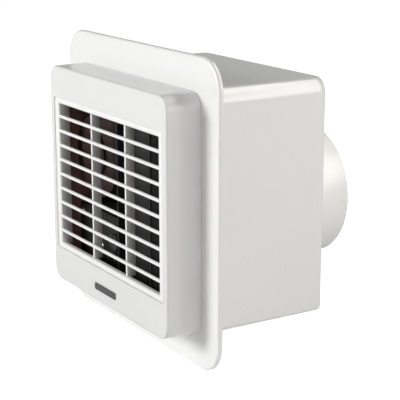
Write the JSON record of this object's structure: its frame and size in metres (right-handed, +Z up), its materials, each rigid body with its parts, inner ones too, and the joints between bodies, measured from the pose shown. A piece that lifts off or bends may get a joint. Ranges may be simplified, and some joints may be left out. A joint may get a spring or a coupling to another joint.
{
  "type": "heat recovery ventilation unit",
  "caption": "Through-wall heat recovery unit: square wall box with flange, hinged front grille, twin fans, plate exchanger and a round duct spigot with backdraught flaps.",
  "frame": {"origin": "centre of the wall flange's back face, which lies against the wall", "axes": "+X to the right seen from the room, +Y into the wall towards the duct, +Z up"},
  "size_m": [0.271, 0.2238, 0.266],
  "materials": {
    "housing_plastic": "moulded white plastic, satin to gloss",
    "cover_plastic": "moulded white plastic, satin",
    "grille_plastic": "moulded white plastic, satin",
    "badge_grey": "plain dark grey inset, no lettering",
    "foam_black": "open-cell foam",
    "filter_brown": "coarse brown filter foam",
    "pin_steel": "drawn steel",
    "screw_zinc": "zinc-plated steel",
    "chassis_black": "black moulded chassis plastic",
    "liner_brown": "dark reddish-brown moulded lining",
    "scroll_brown": "dark grey-brown moulded plastic",
    "scroll_black": "black moulded plastic",
    "impeller_black": "glass-filled black plastic",
    "motor_steel": "pressed zinc-plated steel",
    "winding_copper": "varnished copper windings",
    "rubber_black": "black rubber",
    "exchanger_foil": "thin aluminium plates",
    "board_green": "glass-fibre circuit board with solder mask",
    "relay_blue": "blue component plastic",
    "capacitor_grey": "drawn aluminium can",
    "terminal_black": "black moulded terminal strip",
    "control_white": "white moulded plastic",
    "flap_plastic": "light grey moulded plastic"
  },
  "bodies": {
    "housing": {"wall_housing": "housing_plastic", "wall_gasket": "foam_black", "front_cover": "cover_plastic", "badge_plate": "badge_grey", "cover_screws": "screw_zinc", "centre_partition": "chassis_black", "fan_bulkhead": "chassis_black", "side_liner": "liner_brown", "extract_scroll": "scroll_brown", "extract_backplate": "scroll_brown", "inlet_filter": "filter_brown", "supply_scroll": "scroll_black", "supply_backplate": "scroll_black", "motor_can": "motor_steel", "motor_stator": "winding_copper", "motor_bearings": "motor_steel", "motor_bracket": "motor_steel", "motor_bushes": "rubber_black", "motor_screws": "screw_zinc", "exchanger_core": "exchanger_foil", "exchanger_carrier": "chassis_black", "core_seals": "foam_black", "drip_tray": "chassis_black", "supply_filter": "foam_black", "control_board": "board_green", "relay": "relay_blue", "run_capacitor": "capacitor_grey", "terminal_block": "terminal_black", "terminal_screws": "screw_zinc", "humidity_sensor": "control_white", "dial_base": "relay_blue", "electronics_cover": "terminal_black", "cover_lid_screws": "screw_zinc", "cable_grommet": "rubber_black", "cable_clamp": "control_white", "motor_leads": "rubber_black", "duct_spigot": "housing_plastic", "spigot_gasket": "foam_black", "spigot_screws": "screw_zinc", "duct_divider": "flap_plastic", "flap_pins": "pin_steel"},
    "panel": {"grille_panel": "grille_plastic", "panel_pins": "pin_steel"},
    "rotor": {"motor_shaft": "pin_steel", "motor_rotor": "motor_steel", "extract_impeller": "impeller_black", "supply_impeller": "impeller_black"},
    "intake_flap": {"intake_flap": "flap_plastic"},
    "exhaust_flap": {"exhaust_flap": "flap_plastic"},
    "dial": {"humidity_dial": "control_white"}
  },
  "joints": [
    {"name": "panel_hinge", "type": "hinge", "parent": "housing", "child": "panel", "pos_m": [0, -0.034, 0.071], "axis": [-1, 0, 0], "range_deg": [0, 90]},
    {"name": "fan_spin", "type": "hinge", "parent": "housing", "child": "rotor", "pos_m": [-0.0635, 0.037, 0.024], "axis": [0, 1, 0], "continuous": true},
    {"name": "intake_flap_hinge", "type": "hinge", "parent": "housing", "child": "intake_flap", "pos_m": [-0.004, 0.166, -0.0197], "axis": [0, 0, 1], "range_deg": [0, 76], "stiffness_Nm_per_rad": 0.001},
    {"name": "exhaust_flap_hinge", "type": "hinge", "parent": "housing", "child": "exhaust_flap", "pos_m": [0.004, 0.131, -0.0197], "axis": [0, 0, 1], "range_deg": [0, 76], "stiffness_Nm_per_rad": 0.001},
    {"name": "humidity_dial_turn", "type": "hinge", "parent": "housing", "child": "dial", "pos_m": [-0.024, 0, -0.052], "axis": [0, -1, 0], "range_deg": [-135, 135]}
  ]
}
